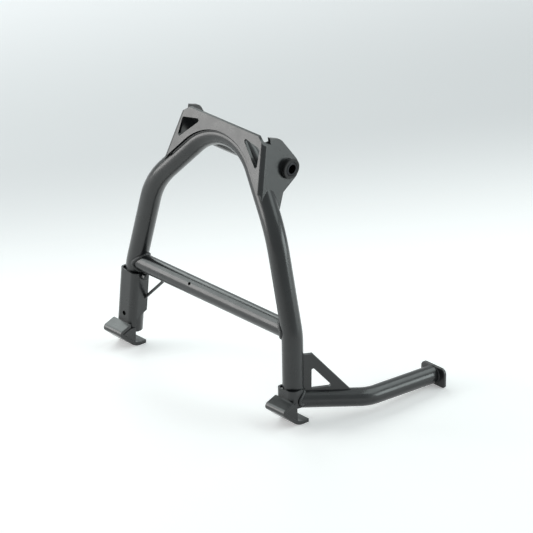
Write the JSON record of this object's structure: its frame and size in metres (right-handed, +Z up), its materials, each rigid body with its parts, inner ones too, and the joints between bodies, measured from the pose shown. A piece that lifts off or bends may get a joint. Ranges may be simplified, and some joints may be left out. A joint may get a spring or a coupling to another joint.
{
  "type": "motorcycle centre stand",
  "caption": "Welded tubular centre stand for a motorcycle, with a folded pivot bridge, a turning pivot sleeve, rocker feet and a foot lever.",
  "frame": {"origin": "middle of the pivot sleeve's bore, on the axis that the stand swings about", "axes": "+X along the pivot axis to the side that carries the foot lever, +Y to the side that the lever points to, +Z up while the stand is down on a level floor"},
  "size_m": [0.39, 0.2377, 0.351],
  "materials": {
    "black_paint": "satin",
    "bush": "matt",
    "sleeve": "dark, turned"
  },
  "bodies": {
    "stand": {"arch_tube": "black_paint", "bridge_plate": "black_paint", "pivot_tube": "black_paint", "crossbar": "black_paint", "foot_bracket_right": "black_paint", "foot_bracket_left": "black_paint", "rocker_sole_right": "black_paint", "rocker_sole_left": "black_paint", "spring_peg": "black_paint", "brace_rod": "black_paint", "lever_tube": "black_paint", "lever_pad": "black_paint", "lever_gusset": "black_paint", "weld_pivot_right": "black_paint", "weld_pivot_left": "black_paint", "weld_lever": "black_paint", "weld_pad": "black_paint", "weld_bridge": "black_paint", "pivot_bush_right": "bush", "pivot_bush_left": "bush"},
    "sleeve": {"pivot_sleeve": "sleeve"}
  },
  "joints": [
    {"name": "sleeve_turn", "type": "hinge", "parent": "stand", "child": "sleeve", "pos_m": [0, 0, 0], "axis": [1, 0, 0], "continuous": true}
  ]
}
